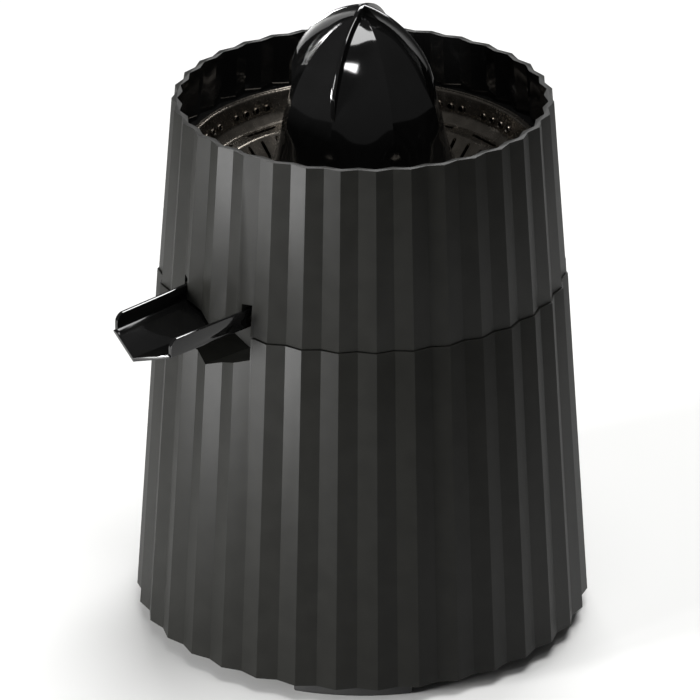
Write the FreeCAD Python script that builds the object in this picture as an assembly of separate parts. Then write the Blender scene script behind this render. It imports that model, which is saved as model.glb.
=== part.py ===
"""Citrus press juicer: a pleated motor base, a lift-off juice collector with a
tilting spout, a lift-out strainer and a lift-off reamer, all millimetres.

Frame: the drive axis is +Z, the spout points along -Y, and Z = 0 is the table
under the feet. Azimuths are measured from the spout, turning towards +X.
"""
import FreeCAD, Part
import math
import os

V = FreeCAD.Vector
UP = V(0, 0, 1)
ALONG_X = V(1, 0, 0)
ALONG_Y = V(0, 1, 0)

# ---- pleated body ---------------------------------------------------------
pleats = 35
valley_share = 0.976        # valley radius over ridge radius
rim_r = 80.0                # ridge radius at the top rim
seam_r = rim_r + 6.5        # ridge radius of the collector at the seam
base_top_r = seam_r + 0.7   # ridge radius of the base at the seam
skirt_r = base_top_r + 11.3 # ridge radius at the bottom of the base
foot_h = 7.2
base_h = 150.8              # skirt from its lower edge to the seam
seam_gap = 0.4
collector_h = 77.9          # collector wall from the seam to the rim
base_wall = 2.5
collector_wall = 2.4
plate_t = 2.5

# ---- collector ------------------------------------------------------------
floor_t = 3.0
floor_lift = 1.6            # underside of the floor above the lower wall edge
spigot_depth = 5.6          # locating ring below the lower wall edge
spigot_t = 2.5
spigot_gap = 0.8            # ring to the base wall
chimney_bore_r = 13.0
chimney_t = 2.0
chimney_h = 35.0
ledge_drop = 24.1           # strainer ledge below the rim
ledge_t = 2.5
ledge_r = rim_r - 6.5

# ---- strainer -------------------------------------------------------------
sheet_t = 1.0
strainer_lip_r = ledge_r + 1.5
basket_r = ledge_r - 12.5   # where the shallow shoulder turns into the cone
basket_drop = 13.5          # lip down to that turn
cone_foot_r = basket_r - 21.0
cone_foot_drop = 37.5       # lip down to the bottom of the cone
slot_count = 45
slot_w = 1.8
arc_slot_count = 15

# ---- reamer ---------------------------------------------------------------
reamer_foot_r = 41.0
reamer_waist_r = 31.0
reamer_shell = 3.0
reamer_h = 72.8             # lower edge to the top of the core
waist_h = 36.0              # lower edge to the waist
fin_rise = 2.7              # main fins above the core's tip
fin_w = 2.0
fin_azimuth = 24.7
main_fins = 4
socket_r = 8.0

# ---- spout ----------------------------------------------------------------
spout_half_w = 19.4         # half the width at the root
spout_tip_half_w = spout_half_w - 1.7
spout_t = 1.6
spout_slope = 0.337         # floor rise per mm from the middle
spout_wall_h = 7.6
spout_reach = seam_r + 40.8 # body axis to the tip of the lip
lip_slope = 0.254
wall_end_y = spout_reach - 5.5
spout_droop = 1.6           # fall of the trough from root to tip
pivot_y = 10.0 - seam_r
pivot_pin_r = 2.0
gate_r = 9.5                # drum that closes the drain
gate_t = 1.5
gate_gap = 0.4
spout_side_gap = 2.6        # spout cheek to the chamber wall
chamber_t = 2.0
chamber_roof = 27.6         # roof above the lower wall edge
drain_half_w = 11.0
drain_h = 5.0
slot_half_in = spout_half_w - 2.2   # inner edge of the wall slots beside the tongue
slot_half_out = spout_half_w + 1.8
tongue_gap = 2.9            # tongue edge above the spout floor's underside

# ---- base -----------------------------------------------------------------
plate_lift = 0.4            # seating gap under the base plate and its screws
deck_drop = 5.5             # deck below the top edge of the base
deck_t = 2.5
tower_r = 12.4
tower_h = 34.0
tower_bore_r = 8.0
notch_half_w = spout_half_w + spout_side_gap
notch_depth = 9.6           # straight sides, from the seam down
notch_v = 7.8               # extra depth at the middle
pocket_back_y = pivot_y + 12.5
pocket_t = 2.2
boss_r = 4.5
boss_h = 14.0
boss_ring_r = skirt_r - 11.5
foot_arc = 31.7
foot_out_r = skirt_r - 7.5
foot_in_r = foot_out_r - 14.0
middle_foot_r = 12.0
foot_edge_r = 1.5
gland_z = 36.0
cord_bore_r = 3.5
gland_r = 7.0

# ---- gears and spindle ----------------------------------------------------
spindle_r = 5.0
spindle_travel = 3.0
running = 0.05              # radial clearance of every turning fit
output_teeth = 60
output_module = 1.0
small_teeth = 15
large_teeth = 56
large_module = 0.8
pinion_teeth = 14
gear_backlash = 0.14
addendum = 0.8              # stub teeth, in modules
dedendum = 1.15
idler_azimuth = 20.0        # standard angle from +X
mesh_turn = 135.0           # idler-to-motor direction past idler_azimuth
box_r = 50.0
box_wall = 2.2
box_z = 92.0
box_h = 39.0
axle_r = 3.0
journal_r = 8.0
bush_t = 2.0

# ---- motor ----------------------------------------------------------------
shaft_r = 2.5
stator_r = 27.0
stator_h = 24.0
stator_z = 38.0
rotor_r = 15.0
air_gap = 0.5
bracket_r = 33.0
bracket_t = 4.0
motor_bolt_r = 1.5
motor_bolt_ring = 30.0
motor_bolt_turn = 20.0

# ---- worked out -----------------------------------------------------------
pitch_deg = 360.0 / pleats
hex_side = spindle_r * math.cos(math.radians(30)) - 0.02
base_top = foot_h + base_h
wall_foot = base_top + seam_gap
rim_z = wall_foot + collector_h
reamer_foot_z = rim_z - 34.3
spout_apex_z = wall_foot - 2.7      # underside of the trough at its middle
pivot_z = wall_foot + 6.6
slot_top_z = wall_foot + 13.9
floor_under = wall_foot + floor_lift
floor_z = floor_under + floor_t
deck_z = base_top - deck_drop
deck_under = deck_z - deck_t
tower_top = deck_z + tower_h
chimney_top = floor_under + chimney_h
ledge_z = rim_z - ledge_drop
lip_z = ledge_z + sheet_t
roof_z = wall_foot + chamber_roof
chamber_half = spout_half_w + spout_side_gap
output_r = output_teeth * output_module / 2
small_r = small_teeth * output_module / 2
large_r = large_teeth * large_module / 2
pinion_r = pinion_teeth * large_module / 2
idler_reach = output_r + small_r
motor_reach = large_r + pinion_r
idler_x = idler_reach * math.cos(math.radians(idler_azimuth))
idler_y = idler_reach * math.sin(math.radians(idler_azimuth))
motor_x = idler_x + motor_reach * math.cos(math.radians(idler_azimuth + mesh_turn))
motor_y = idler_y + motor_reach * math.sin(math.radians(idler_azimuth + mesh_turn))
box_x = idler_x * 0.37
box_y = idler_y * 0.62
ear_ring = box_r + box_wall + 4.8
box_top = box_z + plate_t + box_h
ear_places = [(box_x + ear_ring * math.cos(math.radians(a)),
               box_y + ear_ring * math.sin(math.radians(a))) for a in (45, 135, 225, 315)]
bolt_places = [(motor_x + motor_bolt_ring * math.cos(math.radians(motor_bolt_turn + a)),
                motor_y + motor_bolt_ring * math.sin(math.radians(motor_bolt_turn + a)))
               for a in (0, 90, 180, 270)]
valley_azimuths = [(k + 0.5) * pitch_deg for k in (0, 8, 17, 26)]


# ---- shape helpers --------------------------------------------------------
def at_azimuth(r, azimuth, z=0.0):
    """Point at a radius and an azimuth measured from the spout."""
    a = math.radians(azimuth)
    return V(r * math.sin(a), -r * math.cos(a), z)


def disc(r, z0, z1, x=0.0, y=0.0):
    return Part.makeCylinder(r, z1 - z0, V(x, y, z0))


def ring(r_out, r_in, z0, z1, x=0.0, y=0.0):
    return disc(r_out, z0, z1, x, y).cut(disc(r_in, z0 - 1, z1 + 1, x, y))


def block(x0, x1, y0, y1, z0, z1):
    return Part.makeBox(x1 - x0, y1 - y0, z1 - z0, V(x0, y0, z0))


def prism(points, direction):
    """Solid from a closed outline of points, pushed along a vector."""
    return Part.Face(Part.makePolygon(points + points[:1])).extrude(direction)


def revolve(edges):
    """Solid of revolution about the drive axis from closed profile edges."""
    return Part.Face(Part.Wire(edges)).revolve(V(0, 0, 0), UP, 360)


def profile_edges(points):
    vectors = [V(r, 0, z) for r, z in points]
    return Part.makePolygon(vectors + vectors[:1]).Edges


def arc(a, b, c):
    return Part.Arc(V(a[0], 0, a[1]), V(b[0], 0, b[1]), V(c[0], 0, c[1])).toShape()


def line(a, b):
    return Part.makeLine(V(a[0], 0, a[1]), V(b[0], 0, b[1]))


def hex_bar(half_flats, z0, z1):
    reach = half_flats / math.cos(math.radians(30))
    corners = [V(reach * math.cos(math.radians(60 * k)), reach * math.sin(math.radians(60 * k)), z0)
               for k in range(6)]
    return prism(corners, V(0, 0, z1 - z0))


def turned(shape, angle, x=0.0, y=0.0):
    copy = shape.copy()
    copy.rotate(V(x, y, 0), UP, angle)
    return copy


def group(solids):
    return Part.makeCompound(solids)


def fuse(first, *others):
    return first.multiFuse(list(others)).removeSplitter()


def star(ridge_r, z):
    """Zigzag outline with a ridge on the spout's azimuth."""
    points = []
    for k in range(pleats):
        points.append(at_azimuth(ridge_r, k * pitch_deg, z))
        points.append(at_azimuth(ridge_r * valley_share, (k + 0.5) * pitch_deg, z))
    return Part.makePolygon(points + points[:1])


def pleated(r_at, z0, z1, inset=0.0):
    """Solid pleated frustum; r_at gives the ridge radius at a height."""
    return Part.makeLoft([star(r_at(z0) - inset, z0), star(r_at(z1) - inset, z1)], True, True)


def base_r_at(z):
    return skirt_r + (base_top_r - skirt_r) * (z - foot_h) / base_h


def collector_r_at(z):
    return seam_r + (rim_r - seam_r) * (z - wall_foot) / collector_h


def screw(x, y, head_z, r, length, head_r, head_h):
    """Slotted pan-head screw driven upwards, head underneath."""
    body = disc(r, head_z, head_z + length, x, y).fuse(disc(head_r, head_z - head_h, head_z, x, y))
    slot = block(x - head_r, x + head_r, y - 0.5, y + 0.5, head_z - head_h, head_z - head_h * 0.5)
    return body.cut(slot)


def involute(angle):
    return math.tan(angle) - angle


def gear(teeth, module, z0, z1, tooth_angle, x=0.0, y=0.0):
    """Stub-tooth involute spur gear with a tooth centred on tooth_angle."""
    pitch_r = teeth * module / 2
    root_r = pitch_r - dedendum * module
    tip_r = pitch_r + addendum * module
    press = math.radians(20)
    floor_r = max(pitch_r * math.cos(press), root_r + 0.05)
    half_pitch = (math.pi * module / 2 - gear_backlash) / (2 * pitch_r) + involute(press)
    flank = []
    for r in (floor_r, pitch_r, tip_r):
        pressure = math.acos(min(1.0, pitch_r * math.cos(press) / r))
        flank.append((r, half_pitch - involute(pressure)))
    points = []
    for k in range(teeth):
        mid = math.radians(tooth_angle) + 2 * math.pi * k / teeth
        left = [(root_r, flank[0][1])] + flank
        for r, half in [(r, -h) for r, h in left] + [(r, h) for r, h in reversed(left)]:
            points.append(V(x + r * math.cos(mid + half), y + r * math.sin(mid + half), z0))
    return prism(points, V(0, 0, z1 - z0))


# ---- base and its fixed parts ---------------------------------------------
def notch(grow, y0, y1, top):
    """Recess under the spout: straight sides and a shallow V floor."""
    half = notch_half_w + grow
    low = base_top - notch_depth - grow
    points = [V(-half, y0, top), V(half, y0, top), V(half, y0, low),
              V(0, y0, low - notch_v), V(-half, y0, low)]
    return prism(points, V(0, y1 - y0, 0))


def base_shell():
    outer = pleated(base_r_at, foot_h, base_top)
    hollow = pleated(base_r_at, foot_h, deck_under, base_wall)
    well = pleated(base_r_at, deck_z, base_top, base_wall)
    shell = outer.cut(hollow).cut(well)
    pocket = notch(pocket_t, -skirt_r - 5, pocket_back_y + pocket_t, deck_z).common(outer)
    parts = [pocket, disc(tower_r, deck_under, tower_top)]
    parts += [disc(boss_r, box_z + plate_t + 4, deck_z - 0.5, x, y) for x, y in ear_places]
    for azimuth in valley_azimuths:
        c = at_azimuth(boss_ring_r, azimuth)
        boss = disc(boss_r, foot_h + plate_t + plate_lift, foot_h + plate_t + plate_lift + boss_h, c.x, c.y)
        rib = turned(block(boss_ring_r, boss_ring_r + 7, -1.2, 1.2, boss.BoundBox.ZMin,
                           boss.BoundBox.ZMax), azimuth - 90)
        parts += [boss, rib.common(outer)]
    shell = fuse(shell, *parts)
    cuts = [notch(0, -skirt_r - 5, pocket_back_y, base_top + 5),
            disc(tower_bore_r, deck_under - 1, tower_top + 1),
            Part.makeCylinder(gland_r, 30, V(0, 80, gland_z), ALONG_Y)]
    cuts += [disc(2.0, box_z, deck_under - 10, x, y) for x, y in ear_places]
    for azimuth in valley_azimuths:
        c = at_azimuth(boss_ring_r, azimuth)
        cuts.append(disc(1.7, foot_h, foot_h + plate_t + 12, c.x, c.y))
    return shell.cut(Part.makeCompound(cuts)).removeSplitter()


def base_plate():
    z0 = foot_h + plate_lift
    plate = disc(skirt_r * valley_share - base_wall - 1.0, z0, z0 + plate_t)
    vents = []
    for k in range(-4, 5):
        half = math.sqrt(44.0 ** 2 - (k * 9.0) ** 2) * 0.8
        vents.append(block(k * 9.0 - 1.6, k * 9.0 + 1.6, -half, half, z0 - 1, z0 + plate_t + 1))
    holes = [disc(1.9, z0 - 1, z0 + plate_t + 1, c.x, c.y)
             for c in (at_azimuth(boss_ring_r, a) for a in valley_azimuths)]
    return plate.cut(Part.makeCompound(vents + holes))


def rubber_feet():
    feet = []
    for azimuth in (45, 135, 225, 315):
        sector = ring(foot_out_r, foot_in_r, 0, foot_h + plate_lift)
        wedge = prism([V(0, 0, -1), at_azimuth(150, azimuth - foot_arc / 2, -1),
                       at_azimuth(150, azimuth + foot_arc / 2, -1)], V(0, 0, foot_h + 3))
        foot = sector.common(wedge)
        low = [e for e in foot.Edges if e.BoundBox.ZMax < 0.01]
        feet.append(foot.makeFillet(foot_edge_r, low))
    middle = disc(middle_foot_r, 0, foot_h + plate_lift)
    low = [e for e in middle.Edges if e.BoundBox.ZMax < 0.01]
    feet.append(middle.makeFillet(foot_edge_r, low))
    return group(feet)


def base_screws():
    places = [at_azimuth(boss_ring_r, a) for a in valley_azimuths]
    return group([screw(c.x, c.y, foot_h + plate_lift, 1.7, 13.0, 3.2, 2.2) for c in places])


def cord_gland():
    """Grommet in the rear of the skirt with the lead's passage through it."""
    skin = base_r_at(gland_z) * valley_share
    start = skin - base_wall - 4
    gland = Part.makeCylinder(gland_r, skin + 5 - start, V(0, start, gland_z), ALONG_Y)
    flange = Part.makeCylinder(gland_r + 2.4, 2.2, V(0, skin + 2.8, gland_z), ALONG_Y)
    inside = Part.makeCylinder(gland_r + 1.6, 3.0, V(0, start - 1.6, gland_z), ALONG_Y)
    bore = Part.makeCylinder(cord_bore_r, 40, V(0, start - 10, gland_z), ALONG_Y)
    return fuse(gland, flange, inside).cut(bore)


def terminal_block():
    z0 = foot_h + plate_lift + plate_t
    body = block(-52, -26, 52, 66, z0, z0 + 13)
    cuts = []
    for k in range(3):
        x = -47.5 + 8.5 * k
        cuts.append(disc(2.2, z0 + 6, z0 + 14, x, 59))
        cuts.append(Part.makeCylinder(1.6, 20, V(x, 50, z0 + 4), ALONG_Y))
    return body.cut(Part.makeCompound(cuts))


# ---- gearbox --------------------------------------------------------------
def gearbox_plate():
    plate = disc(box_r + box_wall, box_z, box_z + plate_t, box_x, box_y)
    ears = [disc(6.0, box_z, box_z + plate_t, x, y) for x, y in ear_places]
    cuts = [disc(journal_r + bush_t, box_z - 1, box_z + 9), disc(axle_r, 0, 200, idler_x, idler_y),
            disc(pinion_r + 1.2, box_z - 1, box_z + 9, motor_x, motor_y)]
    cuts += [disc(2.2, box_z - 1, box_z + 9, x, y) for x, y in ear_places]
    cuts += [disc(motor_bolt_r, box_z - 1, box_z + 9, x, y) for x, y in bolt_places]
    return fuse(plate, *ears).cut(Part.makeCompound(cuts))


def gearbox_cover():
    z0 = box_z + plate_t
    cup = disc(box_r + box_wall, z0, box_top, box_x, box_y)
    cup = cup.cut(disc(box_r, z0 - 1, box_top - plate_t, box_x, box_y))
    ears = [disc(6.0, z0, z0 + 4.0, x, y).cut(disc(box_r + 1, z0 - 1, z0 + 9, box_x, box_y))
            for x, y in ear_places]
    cuts = [disc(journal_r + bush_t, z0, box_top + 1), disc(axle_r, z0, box_top + 1, idler_x, idler_y)]
    cuts += [disc(2.2, z0 - 1, z0 + 9, x, y) for x, y in ear_places]
    return fuse(cup, *ears).cut(Part.makeCompound(cuts))


def gearbox_screws():
    return group([screw(x, y, box_z, 2.0, 22.0, 3.8, 2.6) for x, y in ear_places])


def output_bushes():
    low = ring(journal_r + bush_t, journal_r + running, box_z, box_z + 6)
    high = ring(journal_r + bush_t, journal_r + running, box_top - 8, box_top)
    return group([low, high])


def idler_axle():
    return disc(axle_r, box_z, box_top, idler_x, idler_y)


def output_gear():
    """Large gear with journals above and below and a hexagonal bore."""
    wheel = gear(output_teeth, output_module, box_z + 15, box_z + 23, idler_azimuth)
    relief = ring(output_r - 5, 14, box_z + 20.5, box_z + 24)
    wheel = wheel.cut(relief).cut(ring(output_r - 5, 14, box_z + 14, box_z + 17.5))
    hub = disc(11.0, box_z + 6.5, box_top - 8.5)
    journal = disc(journal_r, box_z + 0.5, box_top - 2)
    return fuse(wheel, hub, journal).cut(hex_bar(hex_side + running, box_z - 1, box_top + 1))


def idler_gear():
    """Large wheel driven by the motor and a small pinion above it."""
    to_motor = idler_azimuth + mesh_turn
    large = gear(large_teeth, large_module, box_z + 6, box_z + 12,
                 to_motor + 180.0 / large_teeth, idler_x, idler_y)
    small = gear(small_teeth, output_module, box_z + 12, box_z + 26,
                 idler_azimuth + 180 + 180.0 / small_teeth, idler_x, idler_y)
    bore = disc(axle_r + running, box_z, box_top, idler_x, idler_y)
    return fuse(large, small).cut(bore)


# ---- spindle --------------------------------------------------------------
spindle_foot = box_z - 4.0
spindle_top = reamer_foot_z + 24.0
collar_z = deck_under - 3.5
spring_foot = box_top - 1.9


def spindle():
    nose = Part.makeSphere(2.0, V(0, 0, spindle_foot + 2.0))
    tip = disc(2.0, spindle_foot + 2.0, spindle_foot + 5.0)
    drive = hex_bar(hex_side, spindle_foot + 4.0, box_top + 4)
    shank = disc(spindle_r, box_top + 4, tower_top + 4)
    end = hex_bar(hex_side, tower_top + 4, spindle_top)
    groove = ring(spindle_r + 1, spindle_r - 0.8, collar_z - 1.0, collar_z)
    return fuse(nose, tip, drive, shank, end).cut(groove)


def circlip():
    clip = ring(7.2, spindle_r - 0.8, collar_z - 1.0, collar_z)
    return clip.cut(block(-1.8, 1.8, 0, 10, collar_z - 3, collar_z + 3))


def spring_washer():
    return ring(9.0, spindle_r, collar_z, collar_z + 1.2)


def return_spring():
    wire_r = 0.6
    mean_r = 6.4
    z0 = spring_foot + wire_r
    height = collar_z - 1.0 - wire_r - 0.1 - z0
    helix = Part.makeHelix(height / 4.5, height, mean_r)
    section = Part.Wire(Part.makeCircle(wire_r, V(mean_r, 0, 0), V(0, 1, 0)))
    coil = Part.Wire(helix.Edges).makePipeShell([section], True, True)
    return coil.translated(V(0, 0, z0))


def splash_disc():
    return ring(11.0, spindle_r, tower_top + 4.2, tower_top + 5.8)


def spindle_bush_lower():
    z0 = deck_under - 1.2
    flange = ring(tower_bore_r + 3, spindle_r + running, z0, deck_under)
    return flange.fuse(ring(tower_bore_r, spindle_r + running, deck_under, deck_under + 8)).removeSplitter()


def spindle_bush_upper():
    return ring(tower_bore_r, spindle_r + running, tower_top - 13, tower_top - 3)


def spindle_seal():
    return ring(tower_bore_r, spindle_r + running, tower_top - 2.9, tower_top)


# ---- switch under the spindle ---------------------------------------------
lever_pivot_y = -16.0
lever_top = spindle_foot - 0.4
lever_t = 0.8
lever_pin_z = lever_top - lever_t / 2
switch_half = 3.2
plunger_y = lever_pivot_y + 5.0
switch_top = lever_top - 3.6


def micro_switch():
    body = block(-switch_half, switch_half, -25, -5, switch_top - 10, switch_top)
    lug = block(2.6, switch_half, lever_pivot_y - 2, lever_pivot_y + 2, switch_top, lever_pin_z + 2)
    other = lug.mirror(V(0, 0, 0), ALONG_X)
    pin = Part.makeCylinder(0.8, 20, V(-10, lever_pivot_y, lever_pin_z), ALONG_X)
    well = disc(1.3, switch_top - 6, switch_top + 1, 0, plunger_y)
    tabs = [block(-0.4, 0.4, y, y + 4, switch_top - 13, switch_top - 10) for y in (-23, -16, -10)]
    return fuse(body, lug, other, *tabs).cut(pin).cut(well)


def lever_pin():
    return Part.makeCylinder(0.8, 2 * switch_half, V(-switch_half, lever_pivot_y, lever_pin_z), ALONG_X)


def switch_lever():
    arm = block(-2.2, 2.2, lever_pivot_y, 2.0, lever_top - lever_t, lever_top)
    barrel = Part.makeCylinder(1.5, 4.4, V(-2.2, lever_pivot_y, lever_pin_z), ALONG_X)
    bore = Part.makeCylinder(0.8 + running, 20, V(-10, lever_pivot_y, lever_pin_z), ALONG_X)
    return arm.fuse(barrel).cut(bore).removeSplitter()


def switch_plunger():
    return disc(1.2, switch_top - 3.5, lever_top - lever_t - 0.35, 0, plunger_y)


def switch_bracket():
    """Steel angle that hangs the switch under the gearbox plate."""
    side = block(switch_half, switch_half + 1.2, -25, -5, switch_top - 10, box_z)
    foot = block(switch_half, 12, -25, -14, box_z - 1.2, box_z)
    return side.fuse(foot).removeSplitter()


# ---- motor ----------------------------------------------------------------
bracket_low = stator_z - 4 - bracket_t
bracket_high = stator_z + stator_h + 4


def motor_bracket(z0, boss_z0):
    plate = disc(bracket_r, z0, z0 + bracket_t, motor_x, motor_y)
    boss = disc(8.0, boss_z0, boss_z0 + 8, motor_x, motor_y)
    cuts = [disc(5.0, z0 - 9, z0 + 15, motor_x, motor_y)]
    cuts += [disc(motor_bolt_r, z0 - 1, z0 + 9, x, y) for x, y in bolt_places]
    for k in range(4):
        window = ring(24.0, 13.0, z0 - 1, z0 + 9, motor_x, motor_y)
        wedge = prism([V(motor_x, motor_y, z0 - 1), V(motor_x + 60, motor_y - 25, z0 - 1),
                       V(motor_x + 60, motor_y + 25, z0 - 1)], V(0, 0, 12))
        cuts.append(turned(window.common(wedge), 90 * k + 65, motor_x, motor_y))
    return plate.fuse(boss).cut(Part.makeCompound(cuts)).removeSplitter()


def motor_bracket_bottom():
    return motor_bracket(bracket_low, bracket_low - 4)


def motor_bracket_top():
    return motor_bracket(bracket_high, bracket_high)


def motor_bearings():
    low = ring(5.0, shaft_r + running, bracket_low - 4, bracket_low + 4, motor_x, motor_y)
    high = ring(5.0, shaft_r + running, bracket_high, bracket_high + 8, motor_x, motor_y)
    return group([low, high])


def stator_core():
    z1 = stator_z + stator_h
    yoke = ring(stator_r, stator_r - 4.5, stator_z, z1, motor_x, motor_y)
    pole = block(motor_x + rotor_r, motor_x + stator_r - 2, motor_y - 5, motor_y + 5, stator_z, z1)
    shoe = block(motor_x + rotor_r, motor_x + rotor_r + 3, motor_y - 8, motor_y + 8, stator_z, z1)
    poles = [turned(pole.fuse(shoe), 90 * k + 65, motor_x, motor_y) for k in range(4)]
    tunnel = disc(rotor_r + air_gap, stator_z - 1, z1 + 1, motor_x, motor_y)
    return fuse(yoke, *poles).cut(tunnel)


def stator_coils():
    z0 = stator_z - 3
    z1 = stator_z + stator_h + 3
    x0 = motor_x + rotor_r + 3.2
    coil = block(x0, x0 + 2.7, motor_y - 7.9, motor_y + 7.9, z0, z1)
    coil = coil.makeFillet(1.0, [e for e in coil.Edges if e.Length < 4])
    coil = coil.cut(block(x0 - 1, x0 + 9, motor_y - 5.1, motor_y + 5.1,
                          stator_z - 0.1, stator_z + stator_h + 0.1))
    return group([turned(coil, 90 * k + 65, motor_x, motor_y) for k in range(4)])


def motor_bolts():
    bolts = []
    for x, y in bolt_places:
        bolt = disc(motor_bolt_r, bracket_low, box_z + plate_t + 2.4, x, y)
        head = disc(2.8, bracket_low - 2.0, bracket_low, x, y)
        nut = disc(2.8, box_z + plate_t, box_z + plate_t + 2.2, x, y)
        bolts.append(fuse(bolt, head, nut))
    return group(bolts)


def motor_standoffs():
    z0 = bracket_high + bracket_t
    upper = [ring(3.4, motor_bolt_r, z0, box_z, x, y) for x, y in bolt_places]
    lower = [ring(3.0, motor_bolt_r, bracket_low + bracket_t, bracket_high, x, y)
             for x, y in bolt_places]
    return group(upper + lower)


def rotor_core():
    core = disc(rotor_r, stator_z, stator_z + stator_h, motor_x, motor_y)
    slot = disc(1.0, stator_z - 1, stator_z + stator_h + 1, motor_x + rotor_r - 0.2, motor_y)
    cuts = [turned(slot, 30 * k, motor_x, motor_y) for k in range(12)]
    cuts.append(disc(shaft_r, stator_z - 1, stator_z + stator_h + 1, motor_x, motor_y))
    return core.cut(Part.makeCompound(cuts))


def motor_shaft():
    return disc(shaft_r, bracket_low - 12, box_z + 13.5, motor_x, motor_y)


def cooling_fan():
    z0 = bracket_low - 12.5
    hub = disc(6.0, z0, z0 + 7, motor_x, motor_y)
    web = disc(24.0, z0 + 5.8, z0 + 7, motor_x, motor_y)
    blade = block(motor_x + 5, motor_x + 23.5, motor_y - 0.6, motor_y + 0.6, z0, z0 + 6.5)
    blades = [turned(blade, 40 * k, motor_x, motor_y) for k in range(9)]
    bore = disc(shaft_r, z0 + 0.5, z0 + 9, motor_x, motor_y)
    return fuse(hub, web, *blades).cut(bore)


def motor_pinion():
    to_idler = idler_azimuth + mesh_turn + 180
    teeth = gear(pinion_teeth, large_module, box_z + 5, box_z + 13, to_idler, motor_x, motor_y)
    return teeth.cut(disc(shaft_r, box_z, box_z + 20, motor_x, motor_y))


# ---- juice collector ------------------------------------------------------
def along_x(r, half_length):
    """Cylinder on the spout's pivot axis."""
    return Part.makeCylinder(r, 2 * half_length, V(-half_length, pivot_y, pivot_z), ALONG_X)


def pivot_sector(r_out, r_in, half_length, low_deg, high_deg):
    """Part of a tube round the pivot, angles from +Y towards +Z."""
    tube = along_x(r_out, half_length).cut(along_x(r_in, half_length + 1))
    corners = [V(-half_length - 1, pivot_y, pivot_z)]
    steps = 3
    for k in range(steps + 1):
        a = math.radians(low_deg + (high_deg - low_deg) * k / steps)
        corners.append(V(-half_length - 1, pivot_y + 60 * math.cos(a), pivot_z + 60 * math.sin(a)))
    return tube.common(prism(corners, V(2 * half_length + 2, 0, 0)))


drain_low = floor_z - 0.1
drain_top = drain_low + drain_h
seal_r = gate_r + gate_gap


def juice_collector():
    outer = pleated(collector_r_at, wall_foot, rim_z)
    bowl = pleated(collector_r_at, floor_z, rim_z, collector_wall)
    under = pleated(collector_r_at, wall_foot, floor_under, collector_wall)
    body = outer.cut(bowl).cut(under)
    spigot_r = base_top_r * valley_share - base_wall - spigot_gap
    spigot = ring(spigot_r, spigot_r - spigot_t, wall_foot - spigot_depth, floor_under + 0.5)
    chimney = disc(chimney_bore_r + chimney_t, floor_under, chimney_top)
    ledge = revolve(profile_edges([(ledge_r, ledge_z), (rim_r + 3, ledge_z), (rim_r + 3, ledge_z - 11),
                                   (ledge_r + 3.5, ledge_z - 6), (ledge_r, ledge_z - ledge_t)]))
    chamber = block(-chamber_half - chamber_t, chamber_half + chamber_t, -seam_r - 5,
                    pivot_y + 14.5, wall_foot, roof_z)
    body = fuse(body, spigot, chimney, ledge.common(outer), chamber.common(outer))
    cavity = block(-chamber_half, chamber_half, -seam_r - 5, pivot_y + 6.5,
                   wall_foot - 10, roof_z - chamber_t)
    inside = pleated(collector_r_at, wall_foot - 10, rim_z, collector_wall)
    spigot_cut = block(-chamber_half - chamber_t, chamber_half + chamber_t, -seam_r - 5,
                       pocket_back_y + 6, wall_foot - 10, wall_foot)
    edge = spout_apex_z + tongue_gap
    rise = edge + spout_slope * slot_half_in
    tongue_cut = prism([V(-slot_half_in - 0.1, -seam_r - 5, wall_foot - 3),
                        V(slot_half_in + 0.1, -seam_r - 5, wall_foot - 3),
                        V(slot_half_in + 0.1, -seam_r - 5, rise),
                        V(0, -seam_r - 5, edge),
                        V(-slot_half_in - 0.1, -seam_r - 5, rise)], V(0, 20, 0))
    rear_half = block(-chamber_half, chamber_half, pivot_y, pivot_y + 20, 140, 190)
    cuts = [cavity.common(inside), along_x(seal_r, chamber_half).common(rear_half),
            spigot_cut, tongue_cut,
            disc(chimney_bore_r, wall_foot - 9, chimney_top + 1),
            block(-drain_half_w, drain_half_w, pivot_y, pivot_y + 20, drain_low, drain_top),
            along_x(pivot_pin_r, chamber_half + chamber_t + 0.1),
            pivot_sector(seal_r + 1.5, seal_r - 1, drain_half_w + 3, -22, 30)]
    for side in (-1, 1):
        a, b = sorted((side * slot_half_in, side * slot_half_out))
        cuts.append(block(a, b, -seam_r - 5, -seam_r + 15, wall_foot - 3, slot_top_z))
    for cut in cuts:
        body = body.cut(cut)
    return body.removeSplitter()


def drain_seal():
    """Rubber frame round the drain, in a recess facing the spout's drum."""
    frame = pivot_sector(seal_r + 1.5, seal_r - 0.05, drain_half_w + 3, -22, 30)
    return frame.cut(block(-drain_half_w, drain_half_w, pivot_y, pivot_y + 20, drain_low, drain_top))


def spout_pins():
    pins = []
    for side in (-1, 1):
        start = side * (spout_half_w - spout_t - 0.6)
        pins.append(Part.makeCylinder(pivot_pin_r, chamber_half + chamber_t - abs(start),
                                      V(start, pivot_y, pivot_z), V(side, 0, 0)))
    return group(pins)


# ---- spout ----------------------------------------------------------------
def trough_outline(y, half, apex, top):
    edge = apex + spout_slope * half
    return Part.makePolygon([V(-half, y, top), V(-half, y, edge), V(0, y, apex),
                             V(half, y, edge), V(half, y, top), V(-half, y, top)])


def trough(inset, lift, over):
    """Tapered V-floored channel from behind the pivot to the lip."""
    rear = pivot_y + gate_r + 1
    tip = -spout_reach - 1
    rear_edge = spout_apex_z + spout_slope * spout_half_w
    tip_edge = spout_apex_z - spout_droop + spout_slope * spout_tip_half_w
    sections = [trough_outline(rear, spout_half_w - inset, spout_apex_z + lift,
                               rear_edge + spout_wall_h + over),
                trough_outline(tip, spout_tip_half_w - inset, spout_apex_z - spout_droop + lift,
                               tip_edge + spout_wall_h + over)]
    return Part.makeLoft(sections, True, True)


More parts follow.
